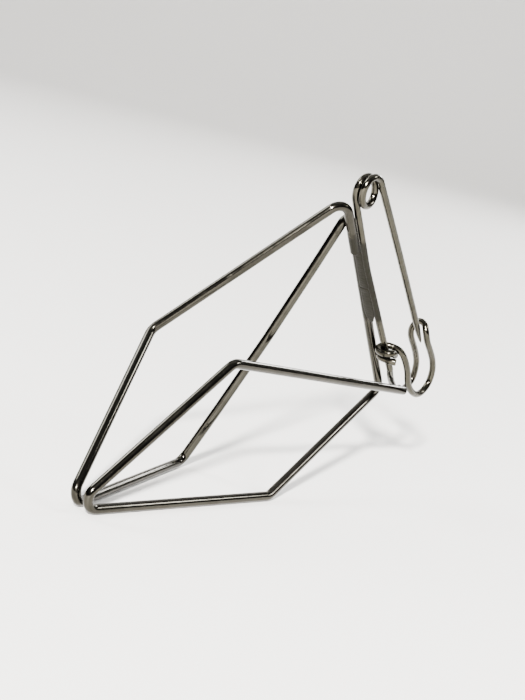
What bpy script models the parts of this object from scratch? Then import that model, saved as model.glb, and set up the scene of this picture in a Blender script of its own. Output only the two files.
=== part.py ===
"""Photo album stand: a bent wire frame with a large safety pin along its spine.

Two lengths of round wire make the object.  The thick one is bent into two
kite-shaped loops that share a sloping spine; the loops meet at the low apex
and rest on the table with one straight side each.  The thin one is the safety
pin: back wire, spring coil, pointed arm and a wire clasp, welded by its back
wire to the spine.  +Z is up, the apex points to -X and the pin to +X.
Everything is in metres.
"""
import math

import bmesh
import bpy
import numpy as np

MM = 0.001

# ---------------------------------------------------------------- wire sizes
FRAME_WIRE = 2.5 * MM            # diameter of the frame wire
PIN_WIRE = 1.9 * MM              # diameter of the safety-pin wire
JOIN_GAP = 0.3 * MM              # clearance between neighbouring pieces
FRAME_SIDES = 16
PIN_SIDES = 12

# ------------------------------------------------- frame: corners of the bends
# Corner = where the two straight legs would meet if the bend were sharp.
FOOT_Z = 0.5 * FRAME_WIRE * math.cos(math.pi / FRAME_SIDES)   # centreline over the table
APEX_FAR = (1.6, 1.8, 0.0)     # low apex, far loop
APEX_NEAR = (0.3, -0.5, 0.0)    # low apex, near loop
SHOULDER_FAR = (37.0, 21.8, 36.4)
SHOULDER_NEAR = (39.8, -4.7, 36.5)
FOOT_FAR = (57.7, 19.5, 0.0)     # end of the far resting side
FOOT_NEAR = (65.0, -6.2, 0.0)    # end of the near resting side
SPINE_TOP = (70.7, -2.8, 78.5)
SPINE_FOOT = (115.9, 2.8, 25.3)
CENTRE_X, CENTRE_Y = 67.6, 6.87  # middle of the footprint, moved to the origin

BEND_APEX_FAR = 2.6              # centreline radii of the bends, mm
BEND_APEX_NEAR = 3.0
BEND_SHOULDER = 3.2
BEND_FOOT = 3.2
BEND_TOP = 3.4
BEND_SPINE_TOP = 1.6
BEND_LONG_LEG = 1000.0
BEND_SPINE_FOOT = 2.6

SPINE_JOIN = 29.0                # the two frame nodes meet here, mm down the spine
LEG_SIDE, LEG_FRONT = 1.9, -2.85   # short leg beside the spine, in pin axes (a, w)
LEG_START, LEG_END = -4.1, 14.0     # its corner and its cut end, mm down the spine
LONG_LEG_TOP = 2.8               # where the far loop turns onto the spine, mm down it
LONG_LEG_BOW = 1.3               # slight bow of that long leg, mm

# --------------------------------------------- safety pin, in its own axes, mm
# s runs down the spine, w from the back wire to the arm, a across the pin.
PIN_LEAN = 38.0                  # turn of the pin about the spine, degrees
BACK_A = 0.5 * (2.5 + 1.9) + 0.3 # back wire beside the spine
COIL_LONG, COIL_WIDE = 3.9, 3.6  # half height along s, half width along w
COIL_TURNS = 1.5
COIL_PITCH = 2.14
COIL_SLANT = 0.2                 # rise of the coil towards the arm per mm of pitch
COIL_S = -2.0                    # coil centre down the spine
ARM_ANGLE = 6.7                  # arm spread from the back wire, degrees
ARM_LENGTH = 65.0
ARM_BOW = 0.2                    # the sprung arm bows out by this, mm
ARM_POINT = 11.0                 # length of the sharpened point
BACK_STRAIGHT = 22.0             # back wire is parallel to the spine down to here
BACK_LEAN = 0.066                # then leans away from it by this slope


# ------------------------------------------------------------------ geometry
def v3(p):
    return np.array(p, dtype=float)


def unit(v):
    v = v3(v)
    return v / np.linalg.norm(v)


def frame_point(p):
    """Corner in mm on the table plan -> metres, centred, centreline height."""
    return v3((p[0] - CENTRE_X, p[1] - CENTRE_Y, p[2])) * MM + v3((0, 0, FOOT_Z))


TOP = frame_point(SPINE_TOP)
FOOT = frame_point(SPINE_FOOT)
S_AXIS = unit(FOOT - TOP)
SIDE = unit(np.cross(S_AXIS, unit((1.0, 0.62, -0.24))))
if SIDE[0] < 0:
    SIDE = -SIDE
FRONT = np.cross(S_AXIS, SIDE)
if FRONT[1] > 0:
    FRONT = -FRONT
LEAN = math.radians(PIN_LEAN)
A_AXIS = unit(math.cos(LEAN) * SIDE + math.sin(LEAN) * FRONT)
W_AXIS = unit(np.cross(A_AXIS, S_AXIS))
if np.dot(W_AXIS, (1, 0, 0)) < 0:
    W_AXIS = -W_AXIS


def pin_point(s, w, a):
    return TOP + (S_AXIS * s + W_AXIS * w + A_AXIS * a) * MM


def fillet_path(corners, radii, step=math.radians(9)):
    """Polyline with round bends.  Returns points and unit tangents."""
    pts, tan = [v3(corners[0])], [unit(v3(corners[1]) - v3(corners[0]))]
    for i in range(1, len(corners) - 1):
        c = v3(corners[i])
        d0 = unit(c - v3(corners[i - 1]))
        d1 = unit(v3(corners[i + 1]) - c)
        turn = math.acos(max(-1.0, min(1.0, float(np.dot(d0, d1)))))
        r = radii[i - 1] * MM
        trim = r * math.tan(turn / 2)
        start = c - d0 * trim
        inward = unit(d1 - d0 * np.dot(d0, d1))
        centre = start + inward * r
        n = max(2, int(math.ceil(turn / step)))
        for k in range(n + 1):
            t = turn * k / n
            pts.append(centre - inward * r * math.cos(t) + d0 * r * math.sin(t))
            tan.append(d0 * math.cos(t) + inward * math.sin(t))
    pts.append(v3(corners[-1]))
    tan.append(unit(v3(corners[-1]) - v3(corners[-2])))
    return np.array(pts), np.array(tan)


def curve_path(points, per=8):
    """Smooth curve through the points (centripetal Catmull-Rom)."""
    p = [v3(q) for q in points]
    p = [2 * p[0] - p[1]] + p + [2 * p[-1] - p[-2]]
    out = []
    for i in range(1, len(p) - 2):
        a, b, c, d = p[i - 1], p[i], p[i + 1], p[i + 2]
        t0 = 0.0
        t1 = t0 + np.linalg.norm(b - a) ** 0.5
        t2 = t1 + np.linalg.norm(c - b) ** 0.5
        t3 = t2 + np.linalg.norm(d - c) ** 0.5
        for k in range(per):
            t = t1 + (t2 - t1) * k / per
            a1 = (t1 - t) / (t1 - t0) * a + (t - t0) / (t1 - t0) * b
            a2 = (t2 - t) / (t2 - t1) * b + (t - t1) / (t2 - t1) * c
            a3 = (t3 - t) / (t3 - t2) * c + (t - t2) / (t3 - t2) * d
            b1 = (t2 - t) / (t2 - t0) * a1 + (t - t0) / (t2 - t0) * a2
            b2 = (t3 - t) / (t3 - t1) * a2 + (t - t1) / (t3 - t1) * a3
            out.append((t2 - t) / (t2 - t1) * b1 + (t - t1) / (t2 - t1) * b2)
    out.append(p[-2])
    return np.array(out)


def path_tangents(pts):
    seg = np.diff(pts, axis=0)
    seg /= np.linalg.norm(seg, axis=1)[:, None]
    t = np.vstack([seg[:1], seg[:-1] + seg[1:], seg[-1:]])
    return t / np.linalg.norm(t, axis=1)[:, None]


def turn_vector(v, t0, t1):
    """Carry v from tangent t0 to tangent t1 by the smallest rotation."""
    axis = np.cross(t0, t1)
    s = np.linalg.norm(axis)
    if s < 1e-9:
        return v
    axis /= s
    ang = math.atan2(s, float(np.dot(t0, t1)))
    return (v * math.cos(ang) + np.cross(axis, v) * math.sin(ang)
            + axis * np.dot(axis, v) * (1 - math.cos(ang)))


def carried_frames(tan, start=0, first=None):
    n = len(tan)
    u = [None] * n
    f = first if first is not None else (0.0, 0.0, -1.0)
    f = v3(f) - tan[start] * np.dot(v3(f), tan[start])
    u[start] = unit(f)
    for i in range(start + 1, n):
        u[i] = turn_vector(u[i - 1], tan[i - 1], tan[i])
    for i in range(start - 1, -1, -1):
        u[i] = turn_vector(u[i + 1], tan[i + 1], tan[i])
    return np.array([unit(x) for x in u])


def wire(name, pts, tan, radius, sides, material, start=0, first=None, origin=None):
    """Round wire as a prism of flat facets; one facet faces along `first`."""
    radius = np.broadcast_to(np.asarray(radius, dtype=float), (len(pts),))
    u = carried_frames(tan, start, first)
    bm = bmesh.new()
    rings = []
    for i in range(len(pts)):
        v = np.cross(tan[i], u[i])
        ring = []
        for k in range(sides):
            ang = 2 * math.pi * (k + 0.5) / sides
            ring.append(bm.verts.new(pts[i] + radius[i] * (math.cos(ang) * u[i] + math.sin(ang) * v)))
        rings.append(ring)
    for i in range(len(rings) - 1):
        for k in range(sides):
            j = (k + 1) % sides
            bm.faces.new((rings[i][k], rings[i][j], rings[i + 1][j], rings[i + 1][k]))
    bm.faces.new(list(reversed(rings[0])))
    bm.faces.new(rings[-1])
    return finish(name, bm, material, origin)


def finish(name, bm, material, origin=None):
    bmesh.ops.recalc_face_normals(bm, faces=bm.faces)
    if bm.calc_volume(signed=True) < 0:
        bmesh.ops.reverse_faces(bm, faces=bm.faces)
    at = v3(origin) if origin is not None else v3((0, 0, 0))
    for vert in bm.verts:
        vert.co = [vert.co[i] - at[i] for i in range(3)]
    mesh = bpy.data.meshes.new(name)
    bm.to_mesh(mesh)
    bm.free()
    mesh.materials.append(material)
    obj = bpy.data.objects.new(name, mesh)
    obj.location = tuple(at)
    bpy.context.scene.collection.objects.link(obj)
    return obj


def steel(name, colour, roughness):
    mat = bpy.data.materials.new(name)
    mat.use_nodes = True
    shader = mat.node_tree.nodes["Principled BSDF"]
    shader.inputs["Base Color"].default_value = (*colour, 1.0)
    shader.inputs["Metallic"].default_value = 1.0
    shader.inputs["Roughness"].default_value = roughness
    return mat


def round_ends(pts, tan, radius, at_start=True, at_end=True, small=0.72, back=0.30):
    """Break the sharp edge of a cut wire end with one small chamfer ring."""
    r = np.full(len(pts), float(radius))
    p, t = list(pts), list(tan)
    r = list(r)
    if at_start:
        p.insert(1, p[0] + t[0] * radius * back)
        t.insert(1, t[0])
        r.insert(1, radius)
        r[0] = radius * small
    if at_end:
        p.insert(len(p) - 1, p[-1] - t[-1] * radius * back)
        t.insert(len(t) - 1, t[-1])
        r.insert(len(r) - 1, radius)
        r[-1] = radius * small
    return np.array(p), np.array(t), np.array(r)


# --------------------------------------------------------------- the pin path
def arm_at(d):
    """Point of the arm at the fraction d of its length."""
    return ARM_ROOT + (ARM_DIR * ARM_LENGTH * d + W_AXIS * ARM_BOW * 4 * d * (1 - d)) * MM


def back_a(s):
    return BACK_A + max(0.0, (s - BACK_STRAIGHT) * BACK_LEAN)


ARM_A = BACK_A + COIL_TURNS * COIL_PITCH
ARM_TILT = math.radians(ARM_ANGLE)
ARM_DIR = unit(S_AXIS * math.cos(ARM_TILT) + W_AXIS * math.sin(ARM_TILT))
COIL_W = COIL_WIDE


def coil_at(f):
    """Point of the coil wire; f = 0 at the back wire, 1 where the arm begins."""
    t = math.radians(180.0 - (540.0 + ARM_ANGLE) * f)
    a = BACK_A + COIL_PITCH * COIL_TURNS * f
    s = COIL_S - COIL_LONG * math.sin(t) - COIL_SLANT * (a - BACK_A)
    return pin_point(s, COIL_W + COIL_WIDE * math.cos(t), a)


def coil_path(f1=1.0, n=56):
    return np.array([coil_at(f1 * k / n) for k in range(n + 1)])


COIL_WIRE_LENGTH = float(np.sum(np.linalg.norm(np.diff(coil_path(), axis=0), axis=1)))
ARM_ROOT = coil_at(1.0)
# the clasp wire: down from the back wire, round the bottom, up the far strand,
# over the bridge, down the near strand and up to the wrap
BACK_END = 59.5
HEAD_FAR = [(59.9, 0.1, 4.75), (63.6, 0.8, 4.1), (67.8, 2.0, 3.2), (71.8, 3.3, 2.7), (75.3, 5.4, 2.5), (77.4, 8.8, 2.45),
            (77.2, 12.6, 2.5), (73.6, 15.2, 2.6), (69.2, 15.6, 2.7), (64.6, 15.0, 2.75), (60.0, 14.5, 2.8)]
HEAD_BRIDGE = [(57.6, 15.2, 3.05), (55.9, 16.8, 4.4), (55.8, 16.5, 6.5), (57.2, 14.8, 8.0)]
HEAD_NEAR = [(60.0, 14.3, 8.4), (64.6, 14.9, 8.6), (68.8, 15.3, 8.65), (72.7, 14.6, 8.65), (75.4, 12.2, 8.6),
             (76.0, 9.0, 8.5), (74.8, 6.2, 8.4), (71.4, 4.0, 8.3), (67.0, 3.1, 8.2), (62.6, 3.5, 8.3), (59.6, 3.4, 8.3),
             (57.4, 3.3, 8.1), (55.6, 3.15, 7.85)]
# the tail, nearly two turns round the back wire: behind it, past the spine,
# across its front, back round the outside, and once more
WRAP = [(55.0, 3.05, 7.65), (53.9, 3.0, 6.95), (53.1, 2.6, 5.9), (52.5, 2.15, 4.6), (52.2, 1.5, 3.2), (51.9, 0.1, 2.4),
        (51.6, -1.2, 2.85), (51.3, -2.0, 4.2), (51.1, -2.15, 5.8), (51.15, -1.4, 7.15), (52.0, -0.15, 7.5),
        (53.6, 0.55, 7.0), (55.1, 1.5, 6.05), (55.5, 2.05, 4.6), (55.0, 1.35, 3.05), (54.5, 0.0, 2.47),
        (53.9, -1.3, 3.0), (53.5, -2.1, 4.4), (53.2, -2.3, 6.1), (53.3, -2.15, 7.7), (53.6, -1.65, 8.9)]


def head_path():
    return curve_path([pin_point(*q) for q in HEAD_FAR + HEAD_BRIDGE + HEAD_NEAR], per=5)


def wrap_path():
    return curve_path([pin_point(*q) for q in WRAP], per=3)


# ------------------------------------------------------------------ the build
def build():
    for obj in list(bpy.data.objects):
        bpy.data.objects.remove(obj, do_unlink=True)

    frame_steel = steel("frame_steel", (0.50, 0.48, 0.45), 0.22)
    pin_steel = steel("pin_steel", (0.46, 0.43, 0.37), 0.26)
    weld_steel = steel("weld_steel", (0.36, 0.34, 0.31), 0.5)

    R = FRAME_WIRE / 2
    r = PIN_WIRE / 2

    # far loop: short leg, far shoulder, far apex bend, far resting side, spine
    leg_corner = pin_point(LEG_START, LEG_FRONT, LEG_SIDE)
    leg_end = pin_point(LEG_END, LEG_FRONT, LEG_SIDE)
    spine_join = pin_point(SPINE_JOIN, 0, 0)
    long_middle = 0.5 * (frame_point(FOOT_FAR) + pin_point(LONG_LEG_TOP, 0, 0)) + SIDE * LONG_LEG_BOW * MM
    far = [leg_end, leg_corner, frame_point(SHOULDER_FAR), frame_point(APEX_FAR),
           frame_point(FOOT_FAR), long_middle, pin_point(LONG_LEG_TOP, 0, 0), spine_join]
    pts, tan = fillet_path(far, [BEND_TOP, BEND_SHOULDER, BEND_APEX_FAR, BEND_FOOT, BEND_LONG_LEG, BEND_SPINE_TOP])
    rest = int(np.argmin(np.linalg.norm(tan - unit(frame_point(FOOT_FAR) - frame_point(APEX_FAR)), axis=1)))
    pts, tan, rad = round_ends(pts, tan, R, True, False)
    wire("far_loop_wire", pts, tan, rad, FRAME_SIDES, frame_steel, start=rest + 1)

    # near loop: lower spine, spine foot, near resting side, near apex, rail
    rail_end = pin_point(*RAIL_END)
    near = [spine_join + S_AXIS * JOIN_GAP, pin_point(np.linalg.norm(FOOT - TOP) / MM, 0, 0),
            frame_point(FOOT_NEAR), frame_point(APEX_NEAR), frame_point(SHOULDER_NEAR), rail_end]
    pts, tan = fillet_path(near, [BEND_SPINE_FOOT, BEND_FOOT, BEND_APEX_NEAR, BEND_SHOULDER])
    rest = int(np.argmin(np.linalg.norm(tan - unit(frame_point(APEX_NEAR) - frame_point(FOOT_NEAR)), axis=1)))
    pts, tan, rad = round_ends(pts, tan, R, False, True)
    wire("near_loop_wire", pts, tan, rad, FRAME_SIDES, frame_steel, start=rest)

    # pin back wire
    first = coil_path()[0]
    back = [first + S_AXIS * 4 * JOIN_GAP, pin_point(BACK_STRAIGHT, 0, BACK_A), pin_point(BACK_END, 0, back_a(BACK_END))]
    pts, tan = fillet_path(back, [80.0], step=math.radians(1.6))
    wire("pin_back_wire", pts, tan, r, PIN_SIDES, pin_steel, first=A_AXIS)

    # spring coil, stopping short of the ball root of the arm
    coil = coil_path(1.0 - (r + JOIN_GAP) / COIL_WIRE_LENGTH)
    wire("spring_coil", coil, path_tangents(coil), r, PIN_SIDES, pin_steel, first=A_AXIS)

    # pin arm: ball root on the hinge line, straight shank, sharpened point
    n_ball = 5
    pts, rad = [], []
    for k in range(n_ball):
        t = math.pi / 2 * (k + 0.35) / n_ball
        pts.append(ARM_ROOT - ARM_DIR * r * math.cos(t))
        rad.append(r * math.sin(t))
    reach = [0.0, 0.1, 0.22, 0.34, 0.46, 0.58, 0.7]
    straight = 1.0 - ARM_POINT / ARM_LENGTH
    for d in reach + [straight]:
        pts.append(arm_at(d))
        rad.append(r)
    for f in (0.15, 0.3, 0.45, 0.6, 0.75, 0.88, 0.96, 1.0):
        pts.append(arm_at(straight + (1 - straight) * f))
        rad.append(r * max(0.12, math.sqrt(1 - f ** 1.7)))
    pts = np.array(pts)
    tan = path_tangents(pts)
    wire("pin_arm", pts, tan, rad, PIN_SIDES, pin_steel, first=A_AXIS, origin=ARM_ROOT)

    # clasp hook and its wrapped tail
    head = head_path()
    wire("clasp_hook", head, path_tangents(head), r, PIN_SIDES, pin_steel, first=A_AXIS)
    wrap = wrap_path()
    wire("clasp_wrap", wrap, path_tangents(wrap), r, PIN_SIDES, pin_steel, first=S_AXIS)

    # weld nugget between the rail end and the bottom bend of the clasp
    bm = bmesh.new()
    bmesh.ops.create_uvsphere(bm, u_segments=20, v_segments=12, radius=1.0)
    spot = pin_point(*RAIL_WELD)
    for vert in bm.verts:
        q = (S_AXIS * vert.co[0] * RAIL_WELD_SIZE[0] + W_AXIS * vert.co[1] * RAIL_WELD_SIZE[1]
             + A_AXIS * vert.co[2] * RAIL_WELD_SIZE[2]) * MM + spot
        vert.co = tuple(q)
    finish("rail_weld", bm, weld_steel)

    # welds in the valley between the spine and the back wire
    spine_weld("spine_weld_upper", 15.2, 28.0, weld_steel)
    spine_weld("spine_weld_lower", 29.5, 41.0, weld_steel)


RAIL_END = (72.4, 3.9, 5.6)      # cut end of the rail, pin axes (s, w, a)
RAIL_WELD = (72.0, 3.6, 3.98)
RAIL_WELD_SIZE = (1.1, 1.1, 0.28)


def spine_weld(name, s0, s1, material, clear=0.12):
    """Bead filling the near valley between the spine and the back wire."""
    R = 0.5e3 * FRAME_WIRE + clear
    r = 0.5e3 * PIN_WIRE + clear
    bm = bmesh.new()
    rings = []
    n = 14
    for i in range(n + 1):
        f = i / n
        s = s0 + (s1 - s0) * f
        far = back_a(s)
        neck = 0.5 * (R + far - r)
        sec = []
        for k in range(6):
            t = math.radians(-66 + 56 * k / 5)
            sec.append((min(R * math.cos(t), neck - 0.02), R * math.sin(t)))
        for k in range(6):
            t = math.radians(191 + 58 * k / 5)
            sec.append((max(far + r * math.cos(t), neck + 0.02), r * math.sin(t)))
        a0, a1 = v3((*sec[-1], 0)), v3((*sec[0], 0))
        for k in range(1, 4):
            q = a0 + (a1 - a0) * k / 4
            sec.append((q[0], q[1] - 0.12 * math.sin(math.pi * k / 4)))
        cx = sum(q[0] for q in sec) / len(sec)
        cy = sum(q[1] for q in sec) / len(sec) - 0.1
        end = min(1.0, math.sqrt(max(0.0, 1 - (2 * f - 1) ** 8)) + 0.35)
        rings.append([bm.verts.new(pin_point(s, cy + (y - cy) * end, cx + (x - cx) * end)) for x, y in sec])
    m = len(rings[0])
    for i in range(n):
        for k in range(m):
            j = (k + 1) % m
            bm.faces.new((rings[i][k], rings[i][j], rings[i + 1][j], rings[i + 1][k]))
    bm.faces.new(list(reversed(rings[0])))
    bm.faces.new(rings[-1])
    return finish(name, bm, material)


build()
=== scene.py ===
# %% [markdown]
# # A photo album stand of bent wire
#
# The real object is two lengths of nickel-plated steel wire. The thick one is bent into two
# kite-shaped loops that share a sloping spine, and it stands on one straight side of each loop.
# The thin one is a large safety pin, welded by its back wire to the spine, and the leaves of the
# album thread on its arm.
#
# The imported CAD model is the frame: it says which pieces there are, where each one lies and which
# body it rides on. This script only gives those pieces their finished surfaces and their look.

# %% Load the frame
import math

import bpy
import numpy as np
from mathutils import Matrix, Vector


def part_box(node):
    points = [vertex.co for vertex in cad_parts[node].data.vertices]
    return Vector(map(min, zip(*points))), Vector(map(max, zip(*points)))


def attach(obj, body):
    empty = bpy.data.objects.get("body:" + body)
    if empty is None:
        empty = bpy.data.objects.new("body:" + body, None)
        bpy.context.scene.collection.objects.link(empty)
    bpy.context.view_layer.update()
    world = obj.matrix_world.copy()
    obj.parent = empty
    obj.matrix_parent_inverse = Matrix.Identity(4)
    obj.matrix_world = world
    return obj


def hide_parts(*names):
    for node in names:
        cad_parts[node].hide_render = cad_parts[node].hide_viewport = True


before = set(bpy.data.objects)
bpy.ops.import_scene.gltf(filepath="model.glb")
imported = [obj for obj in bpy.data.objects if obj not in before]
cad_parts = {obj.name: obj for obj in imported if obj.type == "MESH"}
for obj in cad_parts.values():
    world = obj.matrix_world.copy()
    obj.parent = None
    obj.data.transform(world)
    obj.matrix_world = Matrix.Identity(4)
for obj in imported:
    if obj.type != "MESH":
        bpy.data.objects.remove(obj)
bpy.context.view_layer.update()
MM = 0.001
for node in sorted(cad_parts):
    low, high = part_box(node)
    print(f"{node:17s} {np.round((high - low) / MM, 1)} mm")

# %% [markdown]
# ## The corners of the bends
#
# A wire form is drawn as a wire bender sees it: straight legs that would meet in sharp corners,
# and the radius of the pin that each corner is bent round. Everything below is in millimetres in
# the frame's own axes, and heights are counted from a wire that lies on the table.

# %% Driving sizes of the frame wire
FRAME_WIRE, PIN_WIRE = 2.5, 1.9                        # wire diameters
LYING = 0.5 * FRAME_WIRE * math.cos(math.pi / 16)      # height of a lying wire's centreline


def corner(x, y, height):
    return np.array([x, y, height + LYING])


apex_far, apex_near = corner(-66.0, -5.07, 0), corner(-67.3, -7.37, 0)
shoulder_far, shoulder_near = corner(-30.6, 14.93, 36.4), corner(-27.8, -11.57, 36.5)
foot_far, foot_near = corner(-9.9, 12.63, 0), corner(-2.6, -13.07, 0)
spine_top, spine_foot = corner(3.1, -9.67, 78.5), corner(48.3, -4.07, 25.3)
print("spine length", round(float(np.linalg.norm(spine_foot - spine_top)), 2), "mm")

# %% [markdown]
# ## The pin's own axes
#
# The safety pin lies in a plane of its own, turned 38 degrees about the spine. Its parts are
# easier to place along three directions: `down` the spine, `out` from the back wire to the arm,
# and `across` the pin, which is the coil's axis.

# %% Directions of the safety pin
PIN_LEAN = math.radians(38)


def unit(v):
    v = np.asarray(v, float)
    return v / np.linalg.norm(v, axis=-1, keepdims=True)


down = unit(spine_foot - spine_top)
side = unit(np.cross(down, unit([1.0, 0.62, -0.24])))
side = side * np.sign(side[0])
front = np.cross(down, side)
front = -front * np.sign(front[1])
across = unit(math.cos(PIN_LEAN) * side + math.sin(PIN_LEAN) * front)
out = unit(np.cross(across, down))
out = out * np.sign(out[0])


def on_pin(s, w, a):
    """Point(s) at s down the spine, w out and a across, counted from the spine's top corner."""
    s, w, a = (np.asarray(v, float)[..., None] for v in (s, w, a))
    return spine_top + down * s + out * w + across * a


print("down", down.round(3), "out", out.round(3), "across", across.round(3))

# %% [markdown]
# ## Centrelines
#
# A wire is a round section carried along a line, so the line comes first. Bent corners are arcs
# between straight legs. Hand-formed parts, such as the clasp, are smooth curves through a few
# points where the maker's pliers held the wire. Both are then walked at even steps.

# %% Lines of bent and hand-formed wire
STEP = 0.25                                            # distance between rings of the skin, mm


def bent(corners, radii, turn_step=math.radians(4)):
    """Legs joined by arcs. At a corner with directions d0 and d1 and turn T, the arc starts
    r tan(T/2) before the corner and runs as centre - r cos(t) inward + r sin(t) d0."""
    line = [np.asarray(corners[0], float)[None]]
    for before, here, after, r in zip(corners, corners[1:], corners[2:], radii):
        d0, d1 = unit(here - before), unit(after - here)
        turn = math.acos(float(np.clip(d0 @ d1, -1, 1)))
        inward = unit(d1 - d0 * (d0 @ d1))
        start = here - d0 * r * math.tan(turn / 2)
        t = np.linspace(0, turn, max(3, int(turn / turn_step) + 2))[:, None]
        line.append(start + inward * r * (1 - np.cos(t)) + d0 * r * np.sin(t))
    line.append(np.asarray(corners[-1], float)[None])
    return np.concatenate(line)


def formed(points, per=12):
    """Centripetal Catmull-Rom curve: between two points, three levels of straight blends of
    the four nearest points, weighted by knots spaced as the square root of their distances."""
    p = np.asarray(points, float)
    p = np.vstack([2 * p[0] - p[1], p, 2 * p[-1] - p[-2]])
    a, b, c, d = p[:-3], p[1:-2], p[2:-1], p[3:]
    k1 = np.linalg.norm(b - a, axis=1) ** 0.5
    k2 = k1 + np.linalg.norm(c - b, axis=1) ** 0.5
    k3 = k2 + np.linalg.norm(d - c, axis=1) ** 0.5
    f = np.arange(per)[None, :, None] / per
    k1, k2, k3 = (k[:, None, None] for k in (k1, k2, k3))
    a, b, c, d = (q[:, None, :] for q in (a, b, c, d))
    t = k1 + (k2 - k1) * f
    ab = (k1 - t) / k1 * a + t / k1 * b
    bc = (k2 - t) / (k2 - k1) * b + (t - k1) / (k2 - k1) * c
    cd = (k3 - t) / (k3 - k2) * c + (t - k2) / (k3 - k2) * d
    abc = (k2 - t) / k2 * ab + t / k2 * bc
    bcd = (k3 - t) / (k3 - k1) * bc + (t - k1) / (k3 - k1) * cd
    curve = (k2 - t) / (k2 - k1) * abc + (t - k1) / (k2 - k1) * bcd
    return np.vstack([curve.reshape(-1, 3), p[-2]])


def lengths(line):
    """Distance walked along the line at each of its points."""
    return np.r_[0, np.cumsum(np.linalg.norm(np.diff(line, axis=0), axis=1))]


def even(line, step=STEP):
    """The same line with points an equal step apart."""
    line = line[np.r_[True, np.linalg.norm(np.diff(line, axis=0), axis=1) > 1e-6]]
    walked = lengths(line)
    at = np.linspace(0, walked[-1], int(round(walked[-1] / step)) + 1)
    return np.stack([np.interp(at, walked, line[:, k]) for k in range(3)], axis=1)


def relaxed(line, reach=2):
    """Moving average over 2 reach + 1 points, so that joined stretches meet without a kink."""
    padded = np.vstack([np.repeat(line[:1], reach, 0), line, np.repeat(line[-1:], reach, 0)])
    kernel = np.ones(2 * reach + 1) / (2 * reach + 1)
    smooth = np.stack([np.convolve(padded[:, k], kernel, "valid") for k in range(3)], axis=1)
    smooth[:reach + 1], smooth[-reach - 1:] = line[:reach + 1], line[-reach - 1:]
    return smooth


# %% [markdown]
# ## A skin for a wire
#
# A section carried along a line needs a steady pair of side directions, or it would twist.
# They are carried from ring to ring by the smallest turn that follows the line. Real wire is
# not a perfect cylinder after bending: it flattens a little across each bend, and drawing
# leaves it a few thousandths out of round. Both are in the skin, since bright plating shows them.
#
# Each point keeps three facts for the materials: how far along the wire it is with its place
# round the wire (`way`), how near it is to a weld (`weld`), and whether it is on a cut (`cut`).

# %% Carry a section along a line
SIDES = 40


def carried_sides(line, first):
    """Tangent T and side directions U, V at every point. U is turned with T by Rodrigues'
    formula: u cos + (k x u) sin + k (k.u)(1 - cos), about the axis k = T0 x T1."""
    seg = unit(np.diff(line, axis=0))
    T = unit(np.vstack([seg[:1], seg[:-1] + seg[1:], seg[-1:]]))
    U = np.empty_like(T)
    U[0] = unit(first - T[0] * (T[0] @ first))
    for i in range(1, len(T)):
        k = np.cross(T[i - 1], T[i])
        s, c = np.linalg.norm(k), T[i - 1] @ T[i]
        k = k / max(s, 1e-12)
        u = U[i - 1]
        u = u * c + np.cross(k, u) * s + k * (k @ u) * (1 - c)
        U[i] = unit(u - T[i] * (T[i] @ u))
    return T, U, np.cross(T, U)


def section_rings(line, T, U, V, radius, flatten=0.09, seed=0):
    """Rings of SIDES points: line + r (cos p U + sin p V), out of round by 0.3 % in two long
    waves, then squeezed along the bend's inward direction by flatten times r x curvature."""
    rng = np.random.default_rng(seed)
    p = 2 * np.pi * np.arange(SIDES) / SIDES
    walked = lengths(line)[:, None]
    wave = 0.0018 * np.sin(2 * p + walked / 17 + rng.uniform(0, 6)) + 0.0012 * np.sin(
        3 * p - walked / 9 + rng.uniform(0, 6))
    r = (np.broadcast_to(radius, (len(line),))[:, None] * (1 + wave))[..., None]
    spoke = r * (np.cos(p)[None, :, None] * U[:, None] + np.sin(p)[None, :, None] * V[:, None])
    bend = np.gradient(T, axis=0) / np.maximum(np.gradient(lengths(line)), 1e-6)[:, None]
    kernel = np.ones(5) / 5
    bend = np.stack([np.convolve(bend[:, k], kernel, "same") for k in range(3)], axis=1)
    amount = np.linalg.norm(bend, axis=1)
    inward = bend / np.maximum(amount, 1e-9)[:, None]
    squeeze = flatten * np.clip(amount * np.max(radius), 0, 0.6)
    depth = squeeze[:, None] * np.einsum("ikc,ic->ik", spoke, inward)
    spoke -= depth[..., None] * inward[:, None]
    return line[:, None] + spoke, p


def close_skin(name, rings, facts, material, node, body):
    """One closed mesh: quads between rings, and a fan round one middle point at each end. A
    middle point takes the mean of its ring's facts."""
    n, m = rings.shape[:2]
    i, k = np.meshgrid(np.arange(n - 1), np.arange(m), indexing="ij")
    j = (k + 1) % m
    quads = np.stack([i * m + k, i * m + j, (i + 1) * m + j, (i + 1) * m + k], -1).reshape(-1, 4)
    k, j = np.arange(m), (np.arange(m) + 1) % m
    first = np.stack([np.full(m, n * m), j, k], -1)
    last = np.stack([np.full(m, n * m + 1), (n - 1) * m + k, (n - 1) * m + j], -1)
    points = np.vstack([rings.reshape(-1, 3), rings[0].mean(0), rings[-1].mean(0)]) * MM
    mesh = bpy.data.meshes.new(name)
    mesh.from_pydata(points.tolist(), [], quads.tolist() + first.tolist() + last.tolist())
    mesh.polygons.foreach_set("use_smooth", np.ones(len(mesh.polygons), bool))
    for fact, (kind, values) in facts.items():
        flat = values.reshape(n * m, -1)
        ends = [values[i].reshape(m, -1).mean(0)[None] for i in (0, -1)]
        field = mesh.attributes.new(fact, kind, "POINT")
        field.data.foreach_set("value" if kind == "FLOAT" else "vector",
                               np.vstack([flat, *ends]).astype(np.float32).ravel())
    mesh.materials.append(material)
    mesh.validate()
    piece = bpy.data.objects.new(name, mesh)
    bpy.context.scene.collection.objects.link(piece)
    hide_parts(node)
    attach(piece, body)
    print(f"{name:17s} {len(mesh.polygons)} faces")
    return piece


# %% [markdown]
# Wire is cut in two ways here. A sheared end is flat with a small worn edge. Where one piece runs
# on into the next it stops in a plain face that the neighbour covers. A whole run is worked out
# once and then cut into its pieces, so the section matches exactly from one piece to the next.

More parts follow.
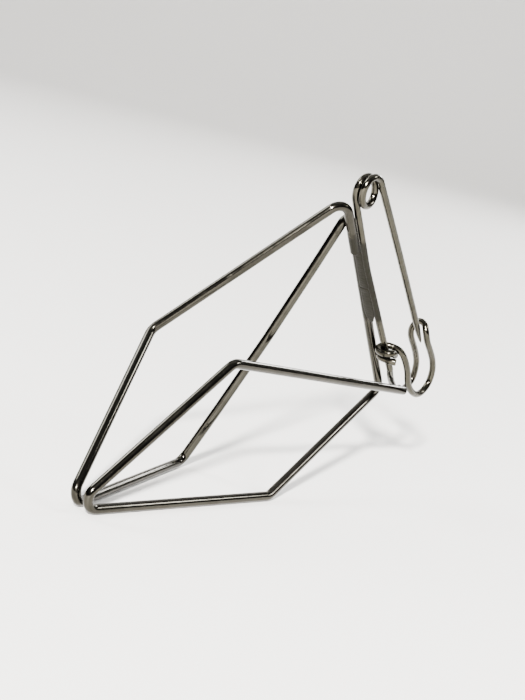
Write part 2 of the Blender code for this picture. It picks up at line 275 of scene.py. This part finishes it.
# %% A run of wire, cut into its pieces
EDGE_STEPS = 6                                         # rings over a cut end's worn edge


def sheared(line, radius, edge=0.3, small=0.8):
    """Adds a worn edge at the start of a line: over `edge` mm the radius rises as a quarter
    ellipse from small x radius to radius. Returns the new line and its radii."""
    t = np.sin(np.linspace(0, np.pi / 2, EDGE_STEPS))
    rise = radius * (small + (1 - small) * np.sqrt(1 - (1 - t) ** 2))
    head = line[0] + unit(line[1] - line[0]) * (edge * t)[:, None]
    keep = lengths(line) > edge + 0.02
    return np.vstack([head, line[keep]]), np.r_[rise, np.full(keep.sum(), radius)]


def run_of_wire(line, diameter, first, cut_start=False, cut_end=False, seed=0):
    """Rings and facts of a whole run: dict with rings, way, walked length, cut and weld."""
    radius = np.full(len(line), 0.5 * diameter)
    if cut_start:
        line, radius = sheared(line, 0.5 * diameter)
    if cut_end:
        back, back_radius = sheared(line[::-1], 0.5 * diameter)
        if cut_start:
            back_radius[-EDGE_STEPS:] = radius[:EDGE_STEPS][::-1]
        line, radius = back[::-1], back_radius[::-1]
    T, U, V = carried_sides(line, first)
    rings, p = section_rings(line, T, U, V, radius, seed=seed)
    walked = lengths(line)
    way = np.stack(np.broadcast_arrays(walked[:, None], np.cos(p)[None], np.sin(p)[None]), -1)
    cut = (radius < 0.499 * diameter).astype(float)[:, None] * np.ones(SIDES)
    return {"rings": rings, "way": way, "walked": walked, "cut": cut,
            "weld": np.zeros(rings.shape[:2])}


# Within this reach of the spine the wire is heat-dulled, and its colour is darkened as painted
# shade.
WELD_REACH = 6.0                                       # heat dulls wire this near the spine, mm


def mark_weld(run, s_from, s_to, fade):
    """Weld nearness: 1 along the welded stretch of the spine, falling to 0 over `fade` mm at
    its ends, and 0 on wire further than WELD_REACH from the spine's line."""
    rel = run["rings"] - spine_top
    s = rel @ down
    off = np.linalg.norm(rel - s[..., None] * down, axis=-1)
    ramp = np.clip((s - s_from) / fade + 0.5, 0, 1) * np.clip((s_to - s) / fade + 0.5, 0, 1)
    run["weld"] = np.maximum(run["weld"], ramp * (off < WELD_REACH))


def facts_of(way, weld, cut):
    """The three facts of a skin, each with the kind of attribute that holds it."""
    return {"way": ("FLOAT_VECTOR", way), "weld": ("FLOAT", weld), "cut": ("FLOAT", cut)}


def piece_of(run, name, start, end, material, body="stand"):
    """The part of a run between two walked lengths, as one closed piece for one CAD node."""
    i = int(np.searchsorted(run["walked"], start - 1e-6))
    j = min(int(np.searchsorted(run["walked"], end - 1e-6)), len(run["walked"]) - 1)
    facts = facts_of(run["way"][i:j + 1], run["weld"][i:j + 1], run["cut"][i:j + 1])
    return close_skin(name + "_skin", run["rings"][i:j + 1], facts, material, name, body)


# %% [markdown]
# ## Finishes
#
# Every finish here is nickel over steel, and three effects turn it into a particular wire: the
# fine lines that drawing leaves along the wire, the smudges and hair scratches of handling, and
# the grey bloom that a weld leaves round it, darkened much further as painted shade. Each effect
# is a shader node group that several finishes use with their own values.

# %% Shader helpers
def new_group(name, inputs, outputs):
    """An empty shader group with float or vector sockets, and its two end nodes."""
    tree = bpy.data.node_groups.new(name, "ShaderNodeTree")
    for label, kind, value in inputs:
        socket = tree.interface.new_socket(label, in_out="INPUT", socket_type=kind)
        if value is not None:
            socket.default_value = value
    for label, kind in outputs:
        tree.interface.new_socket(label, in_out="OUTPUT", socket_type=kind)
    return tree, tree.nodes.new("NodeGroupInput"), tree.nodes.new("NodeGroupOutput")


def add(tree, kind, settings=None, **inputs):
    """A node with its settings; each input is a value or another node's output socket."""
    node = tree.nodes.new("ShaderNode" + kind)
    for key, value in (settings or {}).items():
        setattr(node, key, value)
    for key, value in inputs.items():
        key = int(key[1:]) if key[0] == "i" and key[1:].isdigit() else key.replace("_", " ")
        if isinstance(value, bpy.types.NodeSocket):
            tree.links.new(value, node.inputs[key])
        else:
            node.inputs[key].default_value = value
    return node


def sums(tree, operation, a, b=None, c=None, clamp=False):
    """The output of one Math node."""
    given = {f"i{n}": v for n, v in enumerate((a, b, c)) if v is not None}
    return add(tree, "Math", {"operation": operation, "use_clamp": clamp}, **given).outputs[0]


def between(tree, value, low, high, to_low=0.0, to_high=1.0):
    """value carried smoothly from low..high to to_low..to_high."""
    node = add(tree, "MapRange", {"interpolation_type": "SMOOTHSTEP"}, Value=value)
    limits = {"From Min": low, "From Max": high, "To Min": to_low, "To Max": to_high}
    for label, number in limits.items():
        node.inputs[label].default_value = number
    return node.outputs[0]


# %% [markdown]
# **Drawn lines.** Wire is pulled through a die, and the die leaves very fine lines that run along
# it. Noise is read at (length along / line length, place round the wire x line count), so one
# line is long and thin, and the pattern closes on itself round the wire.

# %% Effect: drawn lines
F, VEC = "NodeSocketFloat", "NodeSocketVector"
drawn_lines, given, gives = new_group(
    "drawn_lines", [("Way", VEC, None), ("Line Length", F, 14.0), ("Line Count", F, 60.0)],
    [("Height", F), ("Tone", F)])
way = add(drawn_lines, "SeparateXYZ", Vector=given.outputs["Way"])
ring_size = sums(drawn_lines, "DIVIDE", given.outputs["Line Count"], 2 * math.pi)
place = add(drawn_lines, "CombineXYZ",
            X=sums(drawn_lines, "DIVIDE", way.outputs[0], given.outputs["Line Length"]),
            Y=sums(drawn_lines, "MULTIPLY", way.outputs[1], ring_size),
            Z=sums(drawn_lines, "MULTIPLY", way.outputs[2], ring_size))
fine = add(drawn_lines, "TexNoise", Vector=place.outputs[0], Scale=1.0, Detail=3.0, Roughness=0.6)
broad = add(drawn_lines, "TexNoise", Vector=place.outputs[0], Scale=0.22, Detail=1.0)
drawn_lines.links.new(sums(drawn_lines, "MULTIPLY_ADD", fine.outputs["Fac"], 0.6,
                           sums(drawn_lines, "MULTIPLY", broad.outputs["Fac"], 0.4)),
                      gives.inputs["Height"])
drawn_lines.links.new(between(drawn_lines, broad.outputs["Fac"], 0.38, 0.66), gives.inputs["Tone"])
print("drawn_lines:", len(drawn_lines.nodes), "nodes")

# %% [markdown]
# **Handling marks.** Fingers leave soft smudges a few millimetres across, and other metal leaves
# hair scratches. Smudges are coarse noise. A scratch is the thin edge between two large, warped
# Voronoi cells, broken up so that only short stretches of it show.

# %% Effect: handling marks
handling_marks, given, gives = new_group(
    "handling_marks", [("Position", VEC, None), ("Smudge Size", F, 5.0)],
    [("Smudge", F), ("Scratch", F)])
in_mm = add(handling_marks, "VectorMath", {"operation": "SCALE"}, i0=given.outputs["Position"],
            Scale=1 / MM)
shrunk = add(handling_marks, "VectorMath", {"operation": "DIVIDE"}, i0=in_mm.outputs[0],
             i1=given.outputs["Smudge Size"])
blot = add(handling_marks, "TexNoise", Vector=shrunk.outputs[0], Scale=1.0, Detail=4.0,
           Roughness=0.55)
warp = add(handling_marks, "TexNoise", Vector=in_mm.outputs[0], Scale=0.35, Detail=1.0)
bent_place = add(handling_marks, "VectorMath", {"operation": "MULTIPLY_ADD"},
                 i0=warp.outputs["Color"], i1=(2.0, 2.0, 2.0), i2=in_mm.outputs[0])
cells = add(handling_marks, "TexVoronoi", {"feature": "DISTANCE_TO_EDGE"},
            Vector=bent_place.outputs[0], Scale=0.55)
breaks = add(handling_marks, "TexNoise", Vector=in_mm.outputs[0], Scale=0.5, Detail=2.0)
hair = between(handling_marks, cells.outputs["Distance"], 0.0, 0.018, 1.0, 0.0)
handling_marks.links.new(sums(handling_marks, "MULTIPLY", hair,
                              between(handling_marks, breaks.outputs["Fac"], 0.52, 0.62)),
                         gives.inputs["Scratch"])
handling_marks.links.new(between(handling_marks, blot.outputs["Fac"], 0.42, 0.68),
                         gives.inputs["Smudge"])
print("handling_marks:", len(handling_marks.nodes), "nodes")

# %% [markdown]
# ** Weld bloom and painted shade.** Next to a weld the plating is heat-dulled and then brushed
# clean, so it is greyer, rougher and streaked, and its colour is darkened much further as painted
# shade, so that the spine and the wire beside it look shaded. The mask starts from the `weld` fact
# and its border is broken up with noise, since heat and a wire brush never stop on a straight line.

# %% Effect: weld bloom and painted shade
weld_bloom_and_shade, given, gives = new_group(
    "weld_bloom_and_shade", [("Weld", F, 0.0), ("Position", VEC, None)], [("Mask", F), ("Brushing", F)])
in_mm = add(weld_bloom_and_shade, "VectorMath", {"operation": "SCALE"}, i0=given.outputs["Position"],
            Scale=1 / MM)
ragged = add(weld_bloom_and_shade, "TexNoise", Vector=in_mm.outputs[0], Scale=0.9, Detail=3.0)
shift = sums(weld_bloom_and_shade, "MULTIPLY_ADD", ragged.outputs["Fac"], 0.7, -0.35)
ragged_weld = sums(weld_bloom_and_shade, "ADD", given.outputs["Weld"], shift)
weld_bloom_and_shade.links.new(between(weld_bloom_and_shade, ragged_weld, 0.3, 0.75), gives.inputs["Mask"])
brush = add(weld_bloom_and_shade, "Mapping", Vector=in_mm.outputs[0], Rotation=(0.0, 0.866, 0.1),
            Scale=(0.35, 4.0, 4.0))
bristle = add(weld_bloom_and_shade, "TexNoise", Vector=brush.outputs[0], Scale=1.6, Detail=5.0, Roughness=0.7)
weld_bloom_and_shade.links.new(bristle.outputs["Fac"], gives.inputs["Brushing"])
print("weld_bloom_and_shade:", len(weld_bloom_and_shade.nodes), "nodes")


# %% [markdown]
# The three finishes share one recipe. The frame wire is smooth, with a dark nickel plate. The pin
# wire is springier steel with a slightly warmer and less even plate. The weld metal is bare: it is
# dull, brushed and a little brown. Beside the welds the colour is darkened further as painted
# shade.
#
# The colours are set for this room, where the pale sheet is very bright, and they are much darker
# than clean nickel. In a dimmer room they would have to be raised.

# %% Recipe of a nickel finish
# Colours beside a weld: heat-dulled metal, darkened much further as painted shade.
SCORCH_AND_SHADE_DARK, SCORCH_AND_SHADE_PALE = (0.006, 0.0057, 0.0045), (0.030, 0.0285, 0.0225)   # beside a weld
SMUDGE_ROUGH, CUT_ROUGH = 0.1, 0.22                    # added roughness of a smudge, of a cut


def nickel(name, bright, dull, rough, line_depth, line_count, lump_depth, bloom_rough=0.3):
    """Nickel plate. bright and dull are its clean and smudged colours, rough its clean
    roughness, line_depth the depth of the drawn lines in millimetres, and lump_depth that of
    the shallow dents, about a millimetre long, which bending tools leave."""
    material = bpy.data.materials.new(name)
    material.use_nodes = True
    tree = material.node_tree
    shader = tree.nodes["Principled BSDF"]
    shader.inputs["Metallic"].default_value = 1.0
    place = add(tree, "TexCoord").outputs["Object"]
    facts = {k: add(tree, "Attribute", {"attribute_name": k}) for k in ("way", "weld", "cut")}
    lines = add(tree, "Group", {"node_tree": drawn_lines}, Way=facts["way"].outputs["Vector"],
                Line_Length=16.0, Line_Count=line_count)
    marks = add(tree, "Group", {"node_tree": handling_marks}, Position=place, Smudge_Size=6.0)
    bloom_and_shade = add(tree, "Group", {"node_tree": weld_bloom_and_shade}, Weld=facts["weld"].outputs["Fac"],
                Position=place)
    mask, cut = bloom_and_shade.outputs["Mask"], facts["cut"].outputs["Fac"]

    tone = sums(tree, "MULTIPLY_ADD", lines.outputs["Tone"], 0.45,
                sums(tree, "MULTIPLY", marks.outputs["Smudge"], 0.55), clamp=True)
    colour = add(tree, "Mix", {"data_type": "RGBA"}, i0=tone, i6=(*bright, 1), i7=(*dull, 1))
    # Beside a weld the colour turns to the heat-dulled tones, which are darkened further as painted
    # shade.
    scorch_and_shade = add(tree, "Mix", {"data_type": "RGBA"}, i0=bloom_and_shade.outputs["Brushing"],
                i6=(*SCORCH_AND_SHADE_DARK, 1), i7=(*SCORCH_AND_SHADE_PALE, 1))
    colour = add(tree, "Mix", {"data_type": "RGBA"}, i0=mask, i6=colour.outputs[2],
                 i7=scorch_and_shade.outputs[2])
    tree.links.new(colour.outputs[2], shader.inputs["Base Color"])

    roughness = sums(tree, "MULTIPLY_ADD", marks.outputs["Smudge"], SMUDGE_ROUGH, rough)
    roughness = sums(tree, "MULTIPLY_ADD", lines.outputs["Tone"], 0.03, roughness)
    roughness = sums(tree, "MULTIPLY_ADD", marks.outputs["Scratch"], 0.12, roughness)
    roughness = sums(tree, "MULTIPLY_ADD", cut, CUT_ROUGH, roughness)
    roughness = sums(tree, "MULTIPLY_ADD", mask, bloom_rough, roughness, clamp=True)
    tree.links.new(roughness, shader.inputs["Roughness"])

    grooves = sums(tree, "MULTIPLY", lines.outputs["Height"], line_depth * MM)
    grooves = sums(tree, "MULTIPLY_ADD", marks.outputs["Scratch"], -0.0025 * MM, grooves)
    lumps = add(tree, "TexNoise", Vector=place, Scale=0.7 / MM, Detail=1.0).outputs["Fac"]
    grooves = sums(tree, "MULTIPLY_ADD", lumps, lump_depth * MM, grooves)
    brushed = sums(tree, "MULTIPLY", bloom_and_shade.outputs["Brushing"], 0.02 * MM)
    grooves = sums(tree, "MULTIPLY_ADD", mask, brushed, grooves)
    bump = add(tree, "Bump", Height=grooves, Strength=1.0, Distance=1.0)
    tree.links.new(bump.outputs["Normal"], shader.inputs["Normal"])
    print(name, "has", len(tree.nodes), "nodes")
    return material


frame_nickel = nickel("polished_frame_nickel", (0.048, 0.045, 0.037), (0.026, 0.0243, 0.0195),
                      rough=0.11, line_depth=0.0035, line_count=70, lump_depth=0.02)
pin_nickel = nickel("satin_pin_nickel", (0.058, 0.054, 0.042), (0.032, 0.030, 0.023),
                    rough=0.13, line_depth=0.004, line_count=54, lump_depth=0.12)
weld_metal = nickel("brushed_weld_metal", (0.018, 0.017, 0.0135), (0.010, 0.0095, 0.0075),
                    rough=0.36, line_depth=0.0, line_count=40, lump_depth=0.1,
                    bloom_rough=0.12)

# %% [markdown]
# ## The frame wire
#
# One wire makes both loops. It starts at the cut end of the short leg in front of the spine, runs
# round the far loop, comes back as the spine, and goes on round the near loop to the end of the
# rail. The long leg of the far loop was pushed aside when it was welded, so it bows slightly.

# %% Bend the frame wire
SPINE_JOIN = 29.0                                      # the two CAD nodes meet here
long_leg_top = on_pin(2.8, 0, 0)
long_leg_middle = 0.5 * (foot_far + long_leg_top) + side * 1.3
rail_end = on_pin(72.4, 3.9, 5.6)
far_line = bent([on_pin(14, -2.85, 1.9), on_pin(-4.1, -2.85, 1.9), shoulder_far, apex_far, foot_far,
                 long_leg_middle, long_leg_top, on_pin(SPINE_JOIN, 0, 0)],
                [3.4, 3.2, 2.6, 3.2, 1000.0, 1.6])
near_line = bent([on_pin(SPINE_JOIN, 0, 0), spine_foot, foot_near, apex_near, shoulder_near,
                  rail_end], [2.6, 3.2, 3.0, 3.2])
frame_run = run_of_wire(relaxed(even(np.vstack([far_line, near_line]))), FRAME_WIRE,
                        first=np.array([0.0, 1.0, 0.0]), cut_start=True, cut_end=True, seed=3)
mark_weld(frame_run, 7.0, 41.0, fade=8.0)
join = lengths(far_line)[-1]
total = frame_run["walked"][-1]
piece_of(frame_run, "far_loop_wire", 0, join, frame_nickel)
piece_of(frame_run, "near_loop_wire", join, total, frame_nickel)
print("frame wire", round(float(total)), "mm long")

# %% [markdown]
# ## The safety pin's fixed wire
#
# The coil, the back wire, the clasp and its lashed tail are one wire too. The coil turns one and
# a half times about the pin's cross axis and is a little taller than wide. The clasp goes down
# from the back wire, round the bottom, up the far strand, over the bridge and down the near
# strand, and its tail is wound nearly twice round the back wire.

# %% The coil
BACK_ACROSS = 0.5 * (FRAME_WIRE + PIN_WIRE) + 0.3      # the back wire lies beside the spine
COIL_TURNS, COIL_PITCH = 1.5, 2.14
COIL_HALF_TALL, COIL_HALF_WIDE = 3.9, 3.6              # of the wire's centreline
ARM_SPREAD = math.radians(6.7)                         # the arm opens this far from the back wire


def coil(f):
    """Coil wire at the fraction f from back wire to arm: an ellipse COIL_HALF_TALL sin t down
    the pin and COIL_HALF_WIDE cos t out, that steps sideways by the pitch each turn."""
    t = math.pi - (3 * math.pi + ARM_SPREAD) * f
    a = BACK_ACROSS + COIL_PITCH * COIL_TURNS * f
    s = -2.0 - COIL_HALF_TALL * np.sin(t) - 0.2 * (a - BACK_ACROSS)
    return on_pin(s, COIL_HALF_WIDE + COIL_HALF_WIDE * np.cos(t), a)


coil_line = coil(np.linspace(1, 0, 160))
arm_root = coil_line[0]

# %% The back wire, the clasp and its tail
LEAN_FROM, BACK_LEAN, BACK_END = 22.0, 0.066, 59.5     # mm down the spine, slope, mm


def back_across(s):
    """The back wire is parallel to the spine down to LEAN_FROM and then leans away from it."""
    return BACK_ACROSS + np.maximum(0.0, (np.asarray(s, float) - LEAN_FROM) * BACK_LEAN)


back_line = bent([coil(np.array(0.0)), on_pin(LEAN_FROM, 0, BACK_ACROSS),
                  on_pin(BACK_END, 0, back_across(BACK_END))], [80.0], turn_step=math.radians(0.5))
clasp_points = [
    (59.9, 0.1, 4.9), (63.6, 0.8, 4.1), (67.8, 2.0, 3.2), (71.8, 3.3, 2.7),
    (75.3, 5.4, 2.5), (77.4, 8.8, 2.45), (77.2, 12.6, 2.5), (73.6, 15.2, 2.6),      # bottom bend
    (69.2, 15.6, 2.7), (64.6, 15.0, 2.75), (60.0, 14.5, 2.8),                       # far strand
    (57.6, 15.2, 3.05), (55.9, 16.8, 4.4), (55.8, 16.5, 6.5), (57.2, 14.8, 8.0),    # bridge
    (60.0, 14.3, 8.4), (64.6, 14.9, 8.6), (68.8, 15.3, 8.65), (72.7, 14.6, 8.65),   # near strand
    (75.4, 12.2, 8.6), (76.0, 9.0, 8.5), (74.8, 6.2, 8.4), (71.4, 4.0, 8.3),
    (67.0, 3.1, 8.2), (62.6, 3.5, 8.3), (59.6, 3.4, 8.3), (57.4, 3.3, 8.1), (55.6, 3.15, 7.85)]
tail_points = [
    (55.0, 3.05, 7.65), (53.9, 3.0, 6.95), (53.1, 2.6, 5.9), (52.5, 2.15, 4.6), (52.2, 1.5, 3.2),
    (51.9, 0.1, 2.4), (51.6, -1.2, 2.85), (51.3, -2.0, 4.2), (51.1, -2.15, 5.8),
    (51.15, -1.4, 7.15),
    (52.0, -0.15, 7.5), (53.6, 0.55, 7.0), (55.1, 1.5, 6.05), (55.5, 2.05, 4.6), (55.0, 1.35, 3.05),
    (54.5, 0.0, 2.47), (53.9, -1.3, 3.0), (53.5, -2.1, 4.4), (53.2, -2.3, 6.1), (53.3, -2.15, 7.7),
    (53.6, -1.65, 8.9)]
clasp_line = formed(on_pin(*np.array(clasp_points + tail_points[:1]).T))
tail_line = formed(on_pin(*np.array(tail_points).T))
pin_lines = [coil_line, back_line, clasp_line, tail_line]
pin_ends = np.cumsum([lengths(line)[-1] for line in pin_lines])
pin_run = run_of_wire(relaxed(even(np.vstack(pin_lines), 0.2)), PIN_WIRE, first=across,
                      cut_end=True, seed=5)
mark_weld(pin_run, 12.0, 41.0, fade=6.0)
pin_ends = pin_ends * pin_run["walked"][-1] / pin_ends[-1]
for name, start, end in zip(("spring_coil", "pin_back_wire", "clasp_hook", "clasp_wrap"),
                            np.r_[0, pin_ends[:-1]], pin_ends):
    piece_of(pin_run, name, start, end, pin_nickel)
print("fixed pin wire", round(float(pin_ends[-1])), "mm long")

# %% [markdown]
# ## The arm
#
# The arm is the same wire, ground to a point over its last 11 mm. It is the one piece that moves,
# so it is a piece of its own, with a ball where it leaves the coil: the ball fills the joint at
# every angle. Ground steel is smoother than drawn wire and narrows like the nose of a bullet.

# %% Grind and place the arm
ARM_LENGTH, ARM_POINT, ARM_BOW = 65.0, 11.0, 0.2
arm_way = unit(down * math.cos(ARM_SPREAD) + out * math.sin(ARM_SPREAD))
ball = np.sin(np.linspace(-np.pi / 2, 0, 12))[1:-1] * 0.5 * PIN_WIRE
shank = np.arange(0, ARM_LENGTH - ARM_POINT, STEP)
nose = ARM_LENGTH - ARM_POINT * (1 - np.linspace(0, 1, 60)) ** 1.2
at = np.r_[ball, shank, np.unique(nose)]
point_of = np.clip((at - ARM_LENGTH + ARM_POINT) / ARM_POINT, 0, 1)
arm_radius = 0.5 * PIN_WIRE * np.where(
    at < 0, 0.99 * np.sqrt(np.maximum(0.0, 1 - (2 * at / PIN_WIRE) ** 2)),
    np.maximum(0.05, np.sqrt(np.maximum(0.0, 1 - point_of ** 1.7))))
f = np.clip(at / ARM_LENGTH, 0, 1)
arm_line = arm_root + arm_way * at[:, None] + out * (ARM_BOW * 4 * f * (1 - f))[:, None]
T, U, V = carried_sides(arm_line, across)
rings, p = section_rings(arm_line, T, U, V, arm_radius, flatten=0.0, seed=8)
along_arm = lengths(arm_line)[:, None]
arm_places = np.stack(np.broadcast_arrays(along_arm, np.cos(p)[None], np.sin(p)[None]), -1)
nothing = np.zeros(rings.shape[:2])
close_skin("pin_arm_skin", rings, facts_of(arm_places, nothing, nothing), pin_nickel,
           "pin_arm", "pin_arm_body")


# %% [markdown]
# ## The welds
#
# The back wire is welded into the valley beside the spine and then dressed almost flush with a
# wire brush. A weld laid in short pulses leaves a row of overlapping ripples, and the brush wears
# them nearly away. The bead is a section between the two wires, carried down the valley, with
# what is left of those ripples on its open face. Its lower end runs out in a long taper.

# %% Lay the two spine beads
def bead(name, s_from, s_to, taper_from, taper_to, seed):
    """Closed strip in the valley. Its section runs along the spine's flank, back along the
    back wire's flank and across the open face, where it bulges by `crown` and by ripples
    |sin| along the valley. Its ends close over quarter ellipses, taper_from and taper_to mm
    long."""
    rng = np.random.default_rng(seed)
    s = np.linspace(s_from, s_to, int((s_to - s_from) / 0.08))
    far = back_across(s)[:, None]
    half, small = 0.5 * FRAME_WIRE, 0.5 * PIN_WIRE
    t0, t1 = np.radians(np.linspace(-78, -8, 10)), np.radians(np.linspace(188, 258, 10))
    face = np.linspace(0, 1, 14)[1:-1]
    spine_a, spine_w = half * np.cos(t0) - 0.03, half * np.sin(t0)
    back_a, back_w = far + small * np.cos(t1) + 0.03, small * np.sin(t1)
    start_a, start_w = back_a[:, -1:], back_w[-1]
    face_a = start_a + (spine_a[0] - start_a) * face
    ripple = np.abs(np.sin(np.pi * s / 0.95 + 0.5 * np.sin(s * 1.7)))[:, None]
    crown = 0.1 + 0.02 * ripple + 0.04 * np.sin(s * 0.9 + rng.uniform(0, 6))[:, None]
    face_w = start_w + (spine_w[0] - start_w) * face - crown * np.sin(np.pi * face)
    rows = (len(s), len(t0))
    a = np.concatenate([np.broadcast_to(spine_a, rows), back_a, face_a], axis=1)
    w = np.concatenate([np.broadcast_to(spine_w, rows), np.broadcast_to(back_w, rows), face_w],
                       axis=1)
    end = np.minimum((s - s_from) / taper_from, (s_to - s) / taper_to)
    close = np.sqrt(np.clip(1 - (1 - np.clip(end, 0, 1)) ** 2, 0.02, 1))[:, None]
    mid_a, mid_w = a.mean(1, keepdims=True), w.mean(1, keepdims=True) - 0.1
    a, w = mid_a + (a - mid_a) * close, mid_w + (w - mid_w) * close
    rings = on_pin(np.broadcast_to(s[:, None], a.shape), w, a)
    turn = np.linspace(0, 2 * np.pi, a.shape[1])
    way = np.stack(np.broadcast_arrays(s[:, None], np.cos(turn)[None], np.sin(turn)[None]), -1)
    facts = facts_of(way, np.ones(a.shape), np.zeros(a.shape))
    return close_skin(name + "_skin", rings, facts, weld_metal, name, "stand")


bead("spine_weld_upper", 15.0, 28.8, taper_from=1.4, taper_to=0.8, seed=1)
bead("spine_weld_lower", 28.6, 41.4, taper_from=0.8, taper_to=6.0, seed=2)

# %% [markdown]
# The rail's end is tacked to the bottom bend of the clasp with one short pulse, which leaves a
# flattened drop: a ball that wetted both wires. It is an ellipsoid whose radius wavers a little.

# %% Tack the rail to the clasp
tack_middle = on_pin(72.0, 3.6, 3.98)
polar = np.linspace(0.02, np.pi - 0.02, 30)[:, None]
round_it = 2 * np.pi * np.arange(SIDES)[None, :] / SIDES
waver = 1 + 0.06 * np.sin(3 * round_it + 1.0) * np.sin(polar) ** 2 + 0.04 * np.sin(5 * polar)
tack_rings = tack_middle + (
    (1.2 * np.cos(polar) * waver)[..., None] * down
    + (1.2 * np.sin(polar) * np.cos(round_it) * waver)[..., None] * out
    + (0.5 * np.sin(polar) * np.sin(round_it) * waver)[..., None] * across)
tack_rings = tack_rings[::-1]
flat = np.zeros(tack_rings.shape[:2])
close_skin("rail_weld_skin", tack_rings, facts_of(tack_rings - tack_middle, flat + 1, flat),
           weld_metal, "rail_weld", "stand")

# %% [markdown]
# ## Floor, light and camera
#
# Polished metal shows its surroundings more than itself, so the room is chosen for its
# reflections: a pale sheet below and behind, a dim room that keeps the wire dark, and soft boxes
# that draw the light streaks along it. The sheet bends up into a wall, so no edge shows behind.

# %% The pale sheet
def stage_material(name, colour, rough=0.6):
    """A plain painted or paper surface."""
    material = bpy.data.materials.new(name)
    material.use_nodes = True
    shader = material.node_tree.nodes["Principled BSDF"]
    shader.inputs["Base Color"].default_value = (*colour, 1)
    shader.inputs["Roughness"].default_value = rough
    return material


def stage_sheet(name, points, faces, material):
    """A sheet of the stage, which is not part of the object."""
    mesh = bpy.data.meshes.new(name)
    mesh.from_pydata(points, [], faces)
    mesh.materials.append(material)
    sheet = bpy.data.objects.new(name, mesh)
    bpy.context.scene.collection.objects.link(sheet)
    return sheet


FLOOR_DROP = 0.00003                                   # metres the sheet lies below the wire
VIEW_WAY = unit([0.786, 0.618, 0.0])                   # the level direction the camera looks in


def sweep(flat_to=1.3, bend=0.9, top=3.2, half_width=5.0, behind=-3.0):
    """A pale sheet, in metres: flat out to flat_to along the view, then a quarter circle of
    radius bend, then a wall up to top, so that no horizon line is seen."""
    turn = np.linspace(0, np.pi / 2, 40)
    along = np.r_[behind, flat_to + bend * np.sin(turn), flat_to + bend]
    high = np.r_[0.0, bend * (1 - np.cos(turn)), top] - FLOOR_DROP
    sideways = np.cross(VIEW_WAY, [0.0, 0.0, 1.0]) * half_width
    rows = along[:, None] * VIEW_WAY + high[:, None] * np.array([0.0, 0.0, 1.0])
    points = np.vstack([rows + sideways, rows - sideways])
    n = len(rows)
    return points.tolist(), [(i, i + n, i + n + 1, i + 1) for i in range(n - 1)]


pale = stage_material("pale_sweep", (0.86, 0.845, 0.815))
floor = stage_sheet("sweep", *sweep(), pale)
floor.data.polygons.foreach_set("use_smooth", np.ones(len(floor.data.polygons), bool))
print("sweep:", len(floor.data.polygons), "faces")

# %% [markdown]
# A camera is placed by the direction it looks from, given as an azimuth and an elevation, and then
# turned about its own axis. It is a long lens near the table, so the stand is seen a little from
# above.

# %% Camera
AZIMUTH, ELEVATION, ROLL = math.radians(-51.84), math.radians(12.26), math.radians(14.4)
AIM, DISTANCE, LENS = np.array([2.06, 4.5, 35.4]), 372.0, 72.0
backward = np.array([math.sin(AZIMUTH) * math.cos(ELEVATION),
                     -math.cos(AZIMUTH) * math.cos(ELEVATION), math.sin(ELEVATION)])
level = unit(np.cross([0.0, 0.0, 1.0], backward))
upright = np.cross(backward, level)
right = level * math.cos(ROLL) + upright * math.sin(ROLL)
above = np.cross(backward, right)
camera = bpy.data.objects.new("camera", bpy.data.cameras.new("camera"))
camera.data.lens, camera.data.sensor_width = LENS, 36.0
camera.data.clip_start = 0.01
spot = (AIM + backward * DISTANCE) * MM
camera.matrix_world = Matrix([[right[i], above[i], backward[i], spot[i]] for i in range(3)]
                             + [[0, 0, 0, 1]])
bpy.context.scene.collection.objects.link(camera)
bpy.context.scene.camera = camera
print("camera at", np.round(spot, 3), "m")

# %% [markdown]
# A straight wire mirrors a light only where the light lies on a cone about the wire: the angle
# between light and wire must equal the angle between wire and camera. The window, right and front
# boxes are placed on the cones of several legs at once, so each draws a streak on all of them. The
# small key box gives the shadows, and the wide box overhead and the room itself fill them.

# %% Lights
def soft_box(name, toward, distance, size, power, colour=(1, 1, 1)):
    """Rectangular light at `distance` metres in the direction `toward`, facing the object."""
    light = bpy.data.lights.new(name, "AREA")
    light.shape, light.size, light.size_y = "RECTANGLE", *size
    light.energy, light.color = power, colour
    box = bpy.data.objects.new(name, light)
    z = unit(toward)
    x = unit(np.cross([0.0, 0.0, 1.0], z))
    y = np.cross(z, x)
    at = z * distance + np.array([0, 0, 0.04])
    box.matrix_world = Matrix([[x[i], y[i], z[i], at[i]] for i in range(3)] + [[0, 0, 0, 1]])
    bpy.context.scene.collection.objects.link(box)
    print(f"{name:10s} {power} W")


soft_box("key", (-0.73, -0.43, 0.54), 1.5, (0.12, 0.12), 140.0, (1.0, 0.98, 0.95))
soft_box("window", (-0.25, 0.70, 0.67), 1.2, (0.45, 0.45), 14.0, (0.96, 0.98, 1.0))
soft_box("right_box", (0.89, 0.16, 0.42), 1.2, (0.35, 0.25), 10.0)
soft_box("front_box", (0.58, -0.58, 0.57), 1.2, (0.25, 0.25), 10.0)
soft_box("wall_wash", (0.25, 0.2, 1.0), 2.2, (2.0, 2.0), 12.0)

# %% The room
world = bpy.data.worlds.new("room")
bpy.context.scene.world = world
world.use_nodes = True
room = world.node_tree
behind = room.nodes["Background"]
behind.inputs["Strength"].default_value = 0.32
direction = add(room, "SeparateXYZ", Vector=add(room, "TexCoord").outputs["Generated"])
ceiling = between(room, direction.outputs["Z"], 0.15, 0.85)
tone = add(room, "Mix", {"data_type": "RGBA"}, i0=ceiling, i6=(0.20, 0.195, 0.185, 1),
           i7=(0.95, 0.97, 1.0, 1))
room.links.new(tone.outputs[2], behind.inputs["Color"])
print("room:", len(room.nodes), "nodes")

# %% [markdown]
# Last, the scene is brought up to date. The skins only refine what the CAD model already has.

# %% Bring the scene up to date and finish
bpy.context.view_layer.update()
